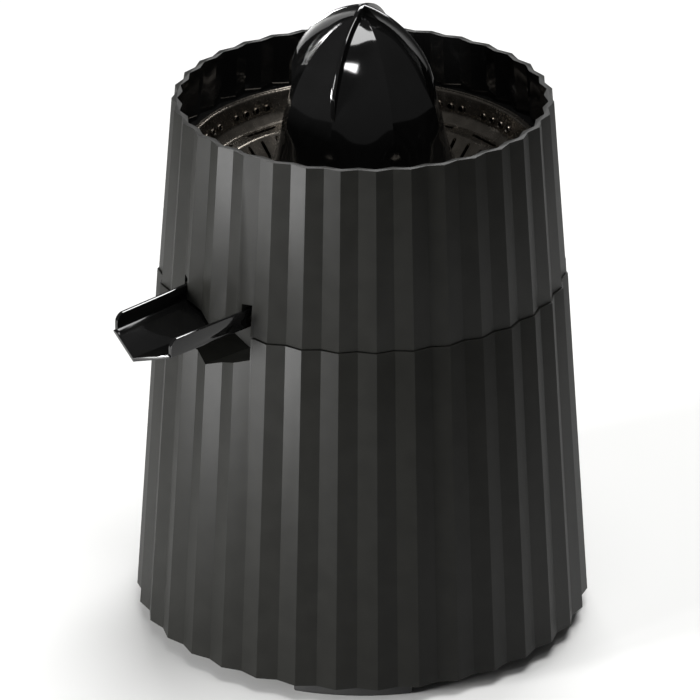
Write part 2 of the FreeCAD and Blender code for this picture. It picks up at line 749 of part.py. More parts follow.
def spout():
    floor_lift_in = spout_t * math.sqrt(1 + spout_slope ** 2)
    channel = trough(0, 0, 0).cut(trough(spout_t, floor_lift_in, 9))
    # lip: pointed in plan, with the side walls ending short and rounded
    side = 30.0
    outline = [V(-side, -60, 140), V(side, -60, 140), V(side, -spout_reach + lip_slope * side, 140),
               V(0, -spout_reach, 140), V(-side, -spout_reach + lip_slope * side, 140)]
    channel = channel.common(prism(outline, V(0, 0, 50)))
    top = spout_apex_z - spout_droop + spout_slope * spout_tip_half_w + spout_wall_h
    corner_r = 4.0
    corner = block(-side, side, -spout_reach - 9, -wall_end_y + corner_r,
                   top - spout_wall_h + 0.8, top + 5)
    round_centre = V(-side, -wall_end_y + corner_r, top - corner_r + 0.4)
    keep_round = Part.makeCylinder(corner_r, 2 * side, round_centre, ALONG_X)
    keep_low = block(-side, side, -wall_end_y, -wall_end_y + corner_r, 150, top - corner_r + 0.4)
    channel = channel.cut(corner.cut(keep_round).cut(keep_low))
    # drum behind the pivot, clipped to the trough's own outline
    rear_keep = along_x(gate_r, spout_half_w)
    front_keep = block(-side, side, -spout_reach - 5, pivot_y, 140, 190)
    channel = channel.common(rear_keep.fuse(front_keep))
    drum = pivot_sector(gate_r, gate_r - gate_t, spout_half_w - 0.5, -75, 40)
    drum = drum.common(trough(0, 0, 5))
    cheek = along_x(gate_r, spout_half_w).common(
        block(-side, side, pivot_y, pivot_y + gate_r, pivot_z - gate_r, pivot_z + gate_r * 0.64))
    cheek = cheek.common(trough(0, 0, 5))
    inner_half_w = spout_half_w - spout_t
    cheek = cheek.cut(block(-inner_half_w, inner_half_w, pivot_y - 20, pivot_y + 20, 140, 190))
    window = pivot_sector(gate_r + 1, gate_r - gate_t - 1, drain_half_w, -45, -17)
    body = fuse(channel, drum, cheek).cut(window)
    return body.cut(along_x(pivot_pin_r + running, chamber_half)).removeSplitter()


# ---- strainer -------------------------------------------------------------
def strainer():
    t = sheet_t
    wall_foot_r = ledge_r - 3.1
    wall_foot_z = lip_z - 9.2
    turn_z = lip_z - basket_drop
    foot_z = lip_z - cone_foot_drop
    hub_r = chimney_bore_r + chimney_t + 1.2
    upper = [(strainer_lip_r, lip_z), (ledge_r - 1.2, lip_z), (wall_foot_r, wall_foot_z),
             (wall_foot_r - 2.4, wall_foot_z - 3.0), (basket_r, turn_z),
             (cone_foot_r, foot_z), (hub_r + t, foot_z - 2.0), (hub_r + t, foot_z + 5.0)]
    lower = [(hub_r, foot_z + 5.0), (hub_r, foot_z - 2.0 - t), (cone_foot_r + 0.4, foot_z - t),
             (basket_r + 0.5, turn_z - t), (wall_foot_r - 1.8, wall_foot_z - 3.0 - t),
             (wall_foot_r + 0.9, wall_foot_z - 0.5), (ledge_r - 0.3, lip_z - t),
             (strainer_lip_r, lip_z - t)]
    dish = revolve(profile_edges(upper + lower))
    cuts = []
    for k in range(slot_count):
        slot = block(cone_foot_r + 1.5, basket_r - 1.0, -slot_w / 2, slot_w / 2, foot_z - 9, turn_z + 9)
        cuts.append(turned(slot, 360.0 * k / slot_count))
    arc_r = (basket_r + wall_foot_r) / 2
    for k in range(arc_slot_count):
        slot = block(arc_r - 0.8, arc_r + 0.8, -8, 8, turn_z - 9, turn_z + 9)
        cuts.append(turned(slot, 360.0 * (k + 0.5) / arc_slot_count))
    return dish.cut(Part.makeCompound(cuts))


# ---- reamer ---------------------------------------------------------------
def cone_profile(inset):
    """Bell outline of the cone: a round nose over a gently flared skirt."""
    foot = reamer_foot_z
    top = foot + reamer_h - inset
    waist = (reamer_waist_r - inset, foot + waist_h)
    base_edge = (reamer_foot_r - inset, foot)
    return [arc((0, top), (20.4 - inset * 0.75, foot + 59.4 - inset * 0.6), waist),
            arc(waist, (34.4 - inset, foot + 17), base_edge),
            line(base_edge, (0, foot)), line((0, foot), (0, top))]


def reamer_cone():
    foot = reamer_foot_z
    shell = revolve(cone_profile(0))
    flute_r = 15.0
    flute_tilt = 20.0
    flute_floor_r = reamer_waist_r - 1.8
    flute_half = 26.0
    axis_r = flute_floor_r + flute_r / math.cos(math.radians(flute_tilt))
    for k in range(2 * main_fins):
        centre = V(axis_r, 0, foot + waist_h + 2.0)
        scoop = Part.makeCylinder(flute_r, 2 * flute_half, centre - V(0, 0, flute_half), UP)
        scoop.rotate(centre, ALONG_Y, -flute_tilt)
        shell = shell.cut(turned(scoop, fin_azimuth - 90 + (k + 0.5) * 180.0 / main_fins))
    shell = shell.cut(revolve(cone_profile(reamer_shell)))
    boss = disc(socket_r + 2.4, foot - 6, foot + 66)
    fin_top = foot + reamer_h + fin_rise
    fin_end = (30.8, foot + 47.6)
    fin_edges = [arc((0, fin_top), (21.8, foot + 63.0), fin_end), line(fin_end, (24.0, fin_end[1])),
                 line((24.0, fin_end[1]), (0, foot + 61)), line((0, foot + 61), (0, fin_top))]
    fin = Part.Face(Part.Wire(fin_edges)).extrude(V(0, fin_w, 0)).translated(V(0, -fin_w / 2, 0))
    fins = [turned(fin, fin_azimuth - 90 + 360.0 * k / main_fins) for k in range(main_fins)]
    body = fuse(shell, boss, *fins)
    return body.cut(disc(socket_r, foot - 7, foot + 28)).removeSplitter()


def drive_socket():
    sleeve = disc(socket_r, reamer_foot_z - 6, reamer_foot_z + 28)
    return sleeve.cut(hex_bar(hex_side + 0.08, reamer_foot_z - 7, spindle_top + 0.5))


makers = [base_shell, base_plate, rubber_feet, base_screws, cord_gland, terminal_block,
          gearbox_plate, gearbox_cover, gearbox_screws, output_bushes, idler_axle,
          output_gear, idler_gear, spindle, circlip, spring_washer, return_spring, splash_disc,
          spindle_bush_lower, spindle_bush_upper, spindle_seal,
          micro_switch, lever_pin, switch_lever, switch_plunger, switch_bracket,
          motor_bracket_bottom, motor_bracket_top, motor_bearings, stator_core, stator_coils,
          motor_bolts, motor_standoffs, rotor_core, motor_shaft, cooling_fan, motor_pinion,
          juice_collector, drain_seal, spout_pins, spout, strainer, reamer_cone, drive_socket]

os.makedirs("parts", exist_ok=True)
for make in makers:
    shape = make()
    solids = len(shape.Solids)
    print(f"{make.__name__}: {solids} solids, {shape.Volume / 1000:.2f} cm3, valid {shape.isValid()}")
    shape.exportStep(f"parts/{make.__name__}.step")
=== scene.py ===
# %% [markdown]
# # A citrus press in charcoal plastic
# The press is a tall pleated body in two parts: a base that hides the motor and a
# lift-off juice collector with a tilting spout. A perforated steel dish and a ribbed
# cone sit on top. The imported CAD model is the fixed frame, and everything added here
# goes where that frame says. First the frame is loaded, and a helper that reads a part's box is
# defined.

# %% Load the frame
import bpy
import math
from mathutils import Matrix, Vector


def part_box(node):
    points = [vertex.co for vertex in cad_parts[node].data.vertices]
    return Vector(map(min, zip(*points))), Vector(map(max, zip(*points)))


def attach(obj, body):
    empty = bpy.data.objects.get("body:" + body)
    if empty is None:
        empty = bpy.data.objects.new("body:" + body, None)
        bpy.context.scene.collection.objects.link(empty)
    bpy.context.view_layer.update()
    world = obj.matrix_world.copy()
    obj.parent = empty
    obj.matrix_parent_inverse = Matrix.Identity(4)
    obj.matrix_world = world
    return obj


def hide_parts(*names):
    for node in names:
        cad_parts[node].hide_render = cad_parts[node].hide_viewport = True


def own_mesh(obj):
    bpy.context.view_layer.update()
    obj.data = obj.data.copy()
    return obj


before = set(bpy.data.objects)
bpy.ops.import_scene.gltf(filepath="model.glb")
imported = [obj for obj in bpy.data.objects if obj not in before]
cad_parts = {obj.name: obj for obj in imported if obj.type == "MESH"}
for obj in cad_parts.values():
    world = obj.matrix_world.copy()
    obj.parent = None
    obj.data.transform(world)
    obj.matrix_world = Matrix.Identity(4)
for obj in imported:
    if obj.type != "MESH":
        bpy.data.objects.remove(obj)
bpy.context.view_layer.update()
MM = 0.001
print("CAD nodes:", len(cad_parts))

# %% [markdown]
# ## Places taken from the frame
# The CAD boxes give the heights that the new pieces need, so nothing is placed by
# eye. The drive axis is the frame's Z axis, and the spout points along -Y.

# %% Heights and radii from the CAD boxes
cone_low, cone_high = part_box("reamer_cone")
_, dish_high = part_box("strainer")
collector_low, collector_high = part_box("juice_collector")
print("cone top", round(cone_high.z / MM, 1), "mm, dish lip", round(dish_high.z / MM, 1), "mm")

# %% [markdown]
# ## Small helpers for edit-mode work
# An operator acts on all that is selected, so everything is deselected first. Faces
# or edges are then picked in code by their place, which is what clicking does by hand.

# %% Helpers: select, apply, settle
merge_gap = 0.00002      # m


def deselect_all():
    if bpy.context.object and bpy.context.object.mode != "OBJECT":
        bpy.ops.object.mode_set(mode="OBJECT")
    bpy.ops.object.select_all(action="DESELECT")


def make_active(obj):
    deselect_all()
    obj.select_set(True)
    bpy.context.view_layer.objects.active = obj


def pick(obj, kind, test):
    """Selects the vertices, edges or faces for which test(centre, element) is true."""
    make_active(obj)
    bpy.ops.object.mode_set(mode="EDIT")
    bpy.ops.mesh.select_mode(type=kind)
    bpy.ops.mesh.select_all(action="DESELECT")
    bpy.ops.object.mode_set(mode="OBJECT")
    mesh = obj.data
    items = {"VERT": mesh.vertices, "EDGE": mesh.edges, "FACE": mesh.polygons}[kind]
    count = 0
    for item in items:
        if kind == "VERT":
            centre = item.co
        elif kind == "FACE":
            centre = item.center
        else:
            centre = (mesh.vertices[item.vertices[0]].co + mesh.vertices[item.vertices[1]].co) / 2
        item.select = bool(test(centre, item))
        count += item.select
    bpy.ops.object.mode_set(mode="EDIT")
    return count


def apply_modifier(obj, kind, **settings):
    make_active(obj)
    modifier = obj.modifiers.new(kind.title(), kind)
    for key, value in settings.items():
        setattr(modifier, key, value)
    bpy.ops.object.modifier_apply(modifier=modifier.name)


def settle(obj, name):
    """Puts the object's place, turn and size into its mesh."""
    make_active(obj)
    bpy.ops.object.transform_apply(location=True, rotation=True, scale=True)
    obj.name = name
    obj.data.name = name
    return obj


def tidy_mesh(obj, recalc=True):
    """Merges vertices that lie within merge_gap of each other."""
    make_active(obj)
    bpy.ops.object.mode_set(mode="EDIT")
    bpy.ops.mesh.select_all(action="SELECT")
    bpy.ops.mesh.remove_doubles(threshold=merge_gap)
    if recalc:
        bpy.ops.mesh.normals_make_consistent(inside=False)
    bpy.ops.object.mode_set(mode="OBJECT")


def smooth(obj, angle):
    make_active(obj)
    bpy.ops.object.shade_smooth_by_angle(angle=math.radians(angle))


def copy_turned(obj, degrees):
    """A copy with its own mesh, turned about the drive axis."""
    make_active(obj)
    bpy.ops.object.duplicate(linked=False)
    twin = bpy.context.object
    twin.rotation_euler.z += math.radians(degrees)
    bpy.ops.object.transform_apply(location=True, rotation=True, scale=True)
    return twin


def join(objects, name):
    deselect_all()
    for obj in objects:
        obj.select_set(True)
    bpy.context.view_layer.objects.active = objects[0]
    bpy.ops.object.join()
    objects[0].name = name
    return objects[0]


def cut(obj, cutter):
    apply_modifier(obj, "BOOLEAN", object=cutter, operation="DIFFERENCE", solver="EXACT")
    bpy.data.objects.remove(cutter)


# %% [markdown]
# ## One function for every node of a material
# Colours are written as sRGB hex values and turned to the linear values that the
# shader wants. Patterns are scaled in mm.

# %% Helpers: colours and shader nodes
def linear(hex_colour):
    channels = [int(hex_colour[i:i + 2], 16) / 255 for i in (1, 3, 5)]
    straight = [c / 12.92 if c <= 0.04045 else ((c + 0.055) / 1.055) ** 2.4 for c in channels]
    return (*straight, 1.0)


def per_mm(size_mm):
    """Texture scale whose cells are about size_mm across."""
    return 1.0 / (size_mm * MM)


def add_node(tree, kind, links=(), **settings):
    """Adds a node, sets properties or inputs by name, and links (socket, from_socket)."""
    node = tree.nodes.new(kind)
    for key, value in settings.items():
        if hasattr(node, key):
            setattr(node, key, value)
        else:
            node.inputs[key.replace("_", " ")].default_value = value
    for socket, source in links:
        tree.links.new(source, node.inputs[socket])
    return node


def new_material(name):
    material = bpy.data.materials.new(name)
    material.use_nodes = True
    tree = material.node_tree
    tree.nodes.clear()
    shader = add_node(tree, "ShaderNodeBsdfPrincipled")
    add_node(tree, "ShaderNodeOutputMaterial", links=[("Surface", shader.outputs["BSDF"])])
    return material, tree, shader


def object_coordinates(tree):
    return add_node(tree, "ShaderNodeTexCoord").outputs["Object"]


def tint_by_noise(tree, shader, place, size_mm, dark, light):
    """Slow colour drift between two close shades."""
    noise = add_node(tree, "ShaderNodeTexNoise", [("Vector", place)],
                     Scale=per_mm(size_mm), Detail=3.0)
    ramp = add_node(tree, "ShaderNodeValToRGB", [("Fac", noise.outputs["Fac"])])
    ramp.color_ramp.elements[0].color = linear(dark)
    ramp.color_ramp.elements[0].position = 0.35
    ramp.color_ramp.elements[1].color = linear(light)
    ramp.color_ramp.elements[1].position = 0.65
    tree.links.new(ramp.outputs["Color"], shader.inputs["Base Color"])


def bump_by_noise(tree, shader, place, size_mm, height_mm, strength, detail=2.0):
    noise = add_node(tree, "ShaderNodeTexNoise", [("Vector", place)],
                     Scale=per_mm(size_mm), Detail=detail)
    bump = add_node(tree, "ShaderNodeBump", [("Height", noise.outputs["Fac"])],
                    Strength=strength, Distance=height_mm * MM)
    tree.links.new(bump.outputs["Normal"], shader.inputs["Normal"])
    return noise


def rough_by_noise(tree, shader, noise, low, high):
    spread = add_node(tree, "ShaderNodeMapRange", [("Value", noise.outputs["Fac"])])
    spread.inputs["To Min"].default_value = low
    spread.inputs["To Max"].default_value = high
    tree.links.new(spread.outputs["Result"], shader.inputs["Roughness"])


# %% [markdown]
# ## Spark-textured charcoal ABS
# The pleated shells are ABS moulded in a tool whose face was spark-eroded, so the
# skin has a fine even grain about a third of a millimetre across. It scatters light
# widely: a pleat that faces the lamp looks grey, and the next one nearly black.

# %% Material: spark-textured ABS
def textured_abs(name, dark, light, low, high):
    material, tree, shader = new_material(name)
    place = object_coordinates(tree)
    tint_by_noise(tree, shader, place, 9.0, dark, light)
    grain = bump_by_noise(tree, shader, place, 0.45, 0.035, 0.35, detail=3.0)
    rough_by_noise(tree, shader, grain, low, high)
    shader.inputs["IOR"].default_value = 1.5
    shader.inputs["Specular IOR Level"].default_value = 0.14
    return material


charcoal_abs = textured_abs("spark_textured_charcoal_abs", "#131311", "#171715", 0.40, 0.52)
print(charcoal_abs.name)

# %% [markdown]
# ## Polished black ABS
# The cone, the spout and the inside of the collector come from mirror-polished tool
# faces. The plastic is close to pure black and its gloss shows the lamps as sharp shapes. A
# very shallow, slow waviness keeps those reflections from being ruler-straight.

# %% Material: polished ABS
def polished_abs(name, colour, roughness, wave_mm):
    material, tree, shader = new_material(name)
    place = object_coordinates(tree)
    tint_by_noise(tree, shader, place, 25.0, colour, "#0b0b0b")
    noise = bump_by_noise(tree, shader, place, 14.0, wave_mm, 0.25, detail=1.0)
    rough_by_noise(tree, shader, noise, roughness, roughness + 0.04)
    shader.inputs["IOR"].default_value = 1.53
    return material


black_abs = polished_abs("polished_black_abs", "#070707", 0.05, 0.05)
print(black_abs.name)

# %% [markdown]
# ## Pressed stainless steel
# The strainer is thin stainless sheet, drawn into a dish and tumbled smooth. It is
# a warm grey metal with soft streaks that run round the dish from the drawing tool.

# %% Material: pressed stainless
def pressed_stainless(name, colour_dark, colour_light, low, high):
    material, tree, shader = new_material(name)
    place = object_coordinates(tree)
    tint_by_noise(tree, shader, place, 6.0, colour_dark, colour_light)
    noise = bump_by_noise(tree, shader, place, 1.6, 0.02, 0.2, detail=4.0)
    rough_by_noise(tree, shader, noise, low, high)
    shader.inputs["Metallic"].default_value = 1.0
    return material


stainless = pressed_stainless("pressed_stainless_sheet", "#6b665f", "#7f7971", 0.20, 0.32)
print(stainless.name)

# %% [markdown]
# ## The softened shells
# The base and the collector have their true shape in CAD, but a real moulding has
# no razor edges: each pleat ridge is rounded by a few tenths of a millimetre, which
# catches a thin line of light. The CAD node itself is never touched. A copy of its
# loose triangles is merged, its flat faces are dissolved into whole facets, and a
# narrow Bevel rounds the edges.

# %% Soften the shells
shell_bevel = 0.35       # mm
bevel_from_angle = 14    # degrees between two facets that get a rounded edge
smooth_below = 30        # degrees


def merged_copy(node, name):
    """The CAD node's mesh as a new object, with its loose triangles joined up."""
    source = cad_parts[node]
    deselect_all()
    piece = source.copy()
    piece.data = source.data.copy()
    for key in list(piece.keys()):
        if key.startswith("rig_"):
            del piece[key]
    piece.parent = None
    bpy.context.scene.collection.objects.link(piece)
    piece.name = name
    piece.data.name = name
    if piece.data.has_custom_normals:
        make_active(piece)
        bpy.ops.mesh.customdata_custom_splitnormals_clear()
    tidy_mesh(piece, recalc=False)
    return piece


def softened(node, name, width_mm):
    """A merged copy whose facets are whole faces with rounded edges between them."""
    piece = merged_copy(node, name)
    bpy.ops.object.mode_set(mode="EDIT")
    bpy.ops.mesh.select_all(action="SELECT")
    bpy.ops.mesh.dissolve_limited(angle_limit=math.radians(0.6))
    bpy.ops.object.mode_set(mode="OBJECT")
    apply_modifier(piece, "BEVEL", width=width_mm * MM, segments=2, limit_method="ANGLE",
                   angle_limit=math.radians(bevel_from_angle), use_clamp_overlap=True)
    smooth(piece, smooth_below)
    return piece


def finish_piece(piece, body, nodes, materials):
    piece.data.materials.clear()
    for material in materials:
        piece.data.materials.append(material)
    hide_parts(*nodes)
    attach(piece, body)
    print(piece.name, len(piece.data.polygons), "faces")


base_body = softened("base_shell", "base_body", shell_bevel)
finish_piece(base_body, "base", ["base_shell"], [charcoal_abs])
collector_body = softened("juice_collector", "collector_body", shell_bevel)
finish_piece(collector_body, "collector", ["juice_collector"],
             [charcoal_abs, black_abs])

# %% [markdown]
# Inside, the collector was moulded against a polished core. Its inner faces are
# picked by where they look: a facet above the floor that faces the drive axis, or
# straight up, is an inner one.

# %% Polish the collector's inside
floor_z = collector_low.z + 10.5 * MM
rim_land = 0.4 * MM      # the rim's top face stays textured
facing_limit = 0.2       # cosine between a face's normal and the way out
for face in collector_body.data.polygons:
    outward = Vector((face.center.x, face.center.y, 0)).normalized()
    facing_in = face.normal.dot(outward) < facing_limit and face.center.z > floor_z
    near_top = face.center.z > collector_high.z - rim_land
    face.material_index = 1 if facing_in and not near_top else 0
print("polished faces:", sum(f.material_index for f in collector_body.data.polygons))

# %% [markdown]
# ## The cone
# The cone is a pointed dome with eight hollow flutes and a flared skirt. It starts
# as a circle at the skirt, and is raised ring by ring with extrude and resize. The
# flutes are pressed in afterwards: in each ring, the vertices that lie equally far
# from a rib are picked together and scaled towards the axis.

# %% Cone: raise the rings
segments = 128
ribs = 8
dome_base_z = 222.0
dome_height = 51.0
dome_r = 34.8
dome_power = 1.78
skirt_flare = 6.2
skirt_z = 202.0
fin_azimuth = 24.7


def dome_radius(z_mm):
    if z_mm >= dome_base_z:
        t = min((z_mm - dome_base_z) / dome_height, 1.0)
        return dome_r * (1 - t ** dome_power) ** (1 / dome_power)
    return dome_r + skirt_flare * ((dome_base_z - z_mm) / (dome_base_z - skirt_z)) ** 1.5


def raise_rings(name, heights, radii, count):
    """Lathes a profile by extruding and resizing one ring of vertices."""
    deselect_all()
    bpy.ops.mesh.primitive_circle_add(vertices=count, radius=radii[0] * MM,
                                      location=(0, 0, heights[0] * MM))
    obj = bpy.context.object
    bpy.ops.object.mode_set(mode="EDIT")
    bpy.ops.mesh.select_mode(type="VERT")
    bpy.ops.mesh.select_all(action="SELECT")
    for i in range(1, len(heights)):
        step = (heights[i] - heights[i - 1]) * MM
        scale = radii[i] / radii[i - 1]
        bpy.ops.mesh.extrude_region_move(TRANSFORM_OT_translate={"value": (0, 0, step)})
        bpy.ops.transform.resize(value=(scale, scale, 1),
                                 center_override=(0, 0, heights[i] * MM))
    bpy.ops.object.mode_set(mode="OBJECT")
    return settle(obj, name)


steps = 30
skirt_steps = 8
skirt_rise = (dome_base_z - skirt_z) / skirt_steps
quarter = math.pi / 2
cone_heights = [skirt_z + skirt_rise * k for k in range(skirt_steps)]
cone_heights += [dome_base_z + dome_height * math.sin(quarter * k / steps) for k in range(steps)]
cone_radii = [dome_radius(z) for z in cone_heights]
cone = raise_rings("cone", cone_heights, cone_radii, segments)
cone.rotation_euler.z = math.radians(fin_azimuth)
settle(cone, "cone")
pick(cone, "VERT", lambda c, v: c.z > cone_heights[-1] * MM - 1e-6)
bpy.ops.mesh.merge(type="CENTER")
bpy.ops.object.mode_set(mode="OBJECT")
print("cone rings:", len(cone_heights))

# %% Cone: press the flutes
flute_depth = 2.3
flute_low_z = 217.0
flute_full_z = 236.0
sector = 360.0 / ribs
half_steps = segments // (2 * ribs)


def flute_share(x, y):
    """0 on a rib, 1 in the middle of a flute."""
    azimuth = math.degrees(math.atan2(x, -y)) - fin_azimuth
    away = abs((azimuth + sector / 2) % sector - sector / 2)
    return away / (sector / 2)


def ease(t):
    t = min(max(t, 0.0), 1.0)
    return t * t * (3 - 2 * t)


share_of = {v.index: flute_share(v.co.x, v.co.y) for v in cone.data.vertices}
for ring_z, ring_r in zip(cone_heights, cone_radii):
    depth = flute_depth * ease((ring_z - flute_low_z) / (flute_full_z - flute_low_z))
    depth = min(depth, ring_r * 0.1)
    if depth < 0.02:
        continue
    for step in range(1, half_steps + 1):
        share = step / half_steps
        pick(cone, "VERT", lambda c, v: abs(c.z - ring_z * MM) < 1e-6
             and abs(share_of[v.index] - share) < 0.5 / half_steps)
        scale = 1 - depth * (1 - (1 - share) ** 2) / ring_r
        bpy.ops.transform.resize(value=(scale, scale, 1), center_override=(0, 0, ring_z * MM))
bpy.ops.object.mode_set(mode="OBJECT")
print("flutes:", ribs)

# %% [markdown]
# The four tall fins are thin blades. One is raised from a plane: its outline is a
# quarter arc over the dome, so the top edge is drawn by extruding one edge in short
# steps. Solidify gives it thickness, Bevel rounds its edges, and the others are
# turned copies. Between the fins, where two flutes meet, the dome keeps a low ridge.

# %% Cone: fins
def arc_through(start, middle, end, count):
    """Points on the circle through three points, as (r, z) in mm."""
    (ax, ay), (bx, by), (cx, cy) = start, middle, end
    d = 2 * (ax * (by - cy) + bx * (cy - ay) + cx * (ay - by))
    a2, b2, c2 = ax * ax + ay * ay, bx * bx + by * by, cx * cx + cy * cy
    ux = (a2 * (by - cy) + b2 * (cy - ay) + c2 * (ay - by)) / d
    uy = (a2 * (cx - bx) + b2 * (ax - cx) + c2 * (bx - ax)) / d
    radius = math.hypot(ax - ux, ay - uy)
    first = math.atan2(ay - uy, ax - ux)
    last = math.atan2(cy - uy, cx - ux)
    turns = [first + (last - first) * k / count for k in range(count + 1)]
    return [(ux + radius * math.cos(t), uy + radius * math.sin(t)) for t in turns]


def blade(name, outer, depth_mm, thick_mm, azimuth):
    """A curved strip that follows outer and reaches depth_mm into the cone."""
    deselect_all()
    start_r, start_z = outer[0]
    bpy.ops.mesh.primitive_plane_add(size=2 * MM, location=(0, 0, 0))
    strip = bpy.context.object
    bpy.ops.object.mode_set(mode="EDIT")
    bpy.ops.mesh.select_mode(type="VERT")
    bpy.ops.mesh.select_all(action="SELECT")
    bpy.ops.mesh.merge(type="CENTER")
    bpy.ops.transform.translate(value=(start_r * MM, 0, start_z * MM))
    for (r0, z0), (r1, z1) in zip(outer, outer[1:]):
        step = ((r1 - r0) * MM, 0, (z1 - z0) * MM)
        bpy.ops.mesh.extrude_vertices_move(TRANSFORM_OT_translate={"value": step})
    bpy.ops.mesh.select_all(action="SELECT")
    bpy.ops.mesh.extrude_region_move(TRANSFORM_OT_translate={"value": (0, 0, -depth_mm * MM)})
    bpy.ops.mesh.select_all(action="SELECT")
    bpy.ops.mesh.normals_make_consistent(inside=False)
    bpy.ops.object.mode_set(mode="OBJECT")
    apply_modifier(strip, "SOLIDIFY", thickness=thick_mm * MM, offset=0)
    apply_modifier(strip, "BEVEL", width=0.3 * MM, segments=2, limit_method="ANGLE",
                   angle_limit=math.radians(50))
    strip.rotation_euler.z = math.radians(azimuth - 90)
    return settle(strip, name)


fin_top = cone_high.z / MM
fin_end = (32.2, 246.6)
fin_edge = arc_through((0.6, fin_top), (22.8, 265.0), fin_end, 14)
fin_depth = 11.0
fin_thick = 2.0
fins = [blade("fin", fin_edge, fin_depth, fin_thick, fin_azimuth)]
fins += [copy_turned(fins[0], 90 * k) for k in (1, 2, 3)]
print("fins:", len(fins))

# %% [markdown]
# The cone is hollow. Solidify gives the dome its wall on the inner side, and a
# central boss holds the steel drive socket. The boss is a cylinder whose lower end is
# inset and pushed in to leave the bore.

# %% Cone: hollow and boss
cone_wall = 2.6
boss_wall = 2.5
bore_depth = 30.0
tidy_mesh(cone)
apply_modifier(cone, "SOLIDIFY", thickness=cone_wall * MM, offset=-1)
boss_r = 10.4
boss_low = cone_low.z / MM
boss_high = 262.0
deselect_all()
bpy.ops.mesh.primitive_cylinder_add(vertices=64, radius=boss_r * MM,
                                    depth=(boss_high - boss_low) * MM,
                                    location=(0, 0, (boss_high + boss_low) / 2 * MM))
boss = settle(bpy.context.object, "boss")
pick(boss, "FACE", lambda c, f: f.normal.z < -0.9)
bpy.ops.mesh.inset(thickness=boss_wall * MM)
bpy.ops.mesh.extrude_region_move(TRANSFORM_OT_translate={"value": (0, 0, bore_depth * MM)})
bpy.ops.object.mode_set(mode="OBJECT")
cone = join([cone, boss] + fins, "ribbed_cone")
smooth(cone, 28)
finish_piece(cone, "reamer", ["reamer_cone"], [black_abs])

# %% [markdown]
# ## The strainer dish
# The dish is one drawn sheet: a flat lip, a steep wall, a narrow shelf and a cone
# that runs down to the hub. A ring of vertices is walked in along that section, the
# corner rings are bevelled round, and Solidify gives the sheet its thickness.

# %% Dish: draw the sheet
sheet_thick = 1.0
corner_round = 0.9
dish_segments = 240
lip_z = dish_high.z / MM
section = [(74.6, lip_z), (72.3, lip_z), (70.4, lip_z - 9.2), (67.4, lip_z - 12.8),
           (61.0, lip_z - 13.5), (40.0, lip_z - 37.5), (17.4, lip_z - 39.5), (17.4, lip_z - 32.5)]
dish = raise_rings("dish", [z for r, z in section], [r for r, z in section], dish_segments)
corner_heights = [z * MM for r, z in section[1:-1]]


def on_corner_ring(centre, edge):
    a, b = (dish.data.vertices[i].co.z for i in edge.vertices)
    return abs(a - b) < 1e-6 and any(abs(centre.z - h) < 1e-5 for h in corner_heights)


pick(dish, "EDGE", on_corner_ring)
bpy.ops.mesh.bevel(offset=corner_round * MM, segments=3, affect="EDGES")
bpy.ops.object.mode_set(mode="OBJECT")
tidy_mesh(dish)
if dish.data.polygons[0].normal.z < 0:
    pick(dish, "FACE", lambda c, f: True)
    bpy.ops.mesh.flip_normals()
    bpy.ops.object.mode_set(mode="OBJECT")
apply_modifier(dish, "SOLIDIFY", thickness=sheet_thick * MM, offset=-1)
print("dish faces:", len(dish.data.polygons))

# %% [markdown]
# Its openings are punched. One cutter of each kind is modelled, copied round the
# dish and used in a Boolean: radial slots down the cone, a slot that follows the
# shelf, and small oval holes in the wall with a raised collar round each.

# %% Dish: punch the openings
def ring_of(obj, count, offset_share):
    """Copies obj evenly round the axis, the first one turned by a share of a step."""
    step = 360.0 / count
    obj.rotation_euler.z = math.radians(step * offset_share)
    settle(obj, obj.name)
    copies = [obj] + [copy_turned(obj, step * k) for k in range(1, count)]
    return join(copies, obj.name)


def slot_cutter(r_in, r_out, width, z_low, z_high):
    """A round-ended bar along +X."""
    deselect_all()
    middle = ((r_in + r_out) / 2 * MM, 0, (z_low + z_high) / 2 * MM)
    bpy.ops.mesh.primitive_cube_add(size=1, location=middle)
    bar = bpy.context.object
    bar.scale = ((r_out - r_in) * MM, width * MM, (z_high - z_low) * MM)
    settle(bar, "slot_cutter")

    def upright(centre, edge):
        a, b = (bar.data.vertices[i].co for i in edge.vertices)
        return abs((a - b).normalized().z) > 0.9

    pick(bar, "EDGE", upright)
    bpy.ops.mesh.bevel(offset=width * 0.49 * MM, segments=4, affect="EDGES")
    bpy.ops.object.mode_set(mode="OBJECT")
    return bar


groups = 15              # shelf slots, and groups of holes above them
cone_slots = 3 * groups
shelf_half_l = 8.0
shelf_slot_r = 64.6
cut(dish, ring_of(slot_cutter(42.0, 60.0, 1.8, lip_z - 46, lip_z - 8), cone_slots, 0.0))
shelf_slot = slot_cutter(-shelf_half_l, shelf_half_l, 1.5, lip_z - 22, lip_z - 6)
shelf_slot.rotation_euler.z = math.pi / 2
shelf_slot.location = (shelf_slot_r * MM, 0, 0)
cut(dish, ring_of(settle(shelf_slot, "shelf_cutter"), groups, 0.5))
print("slots cut, faces:", len(dish.data.polygons))

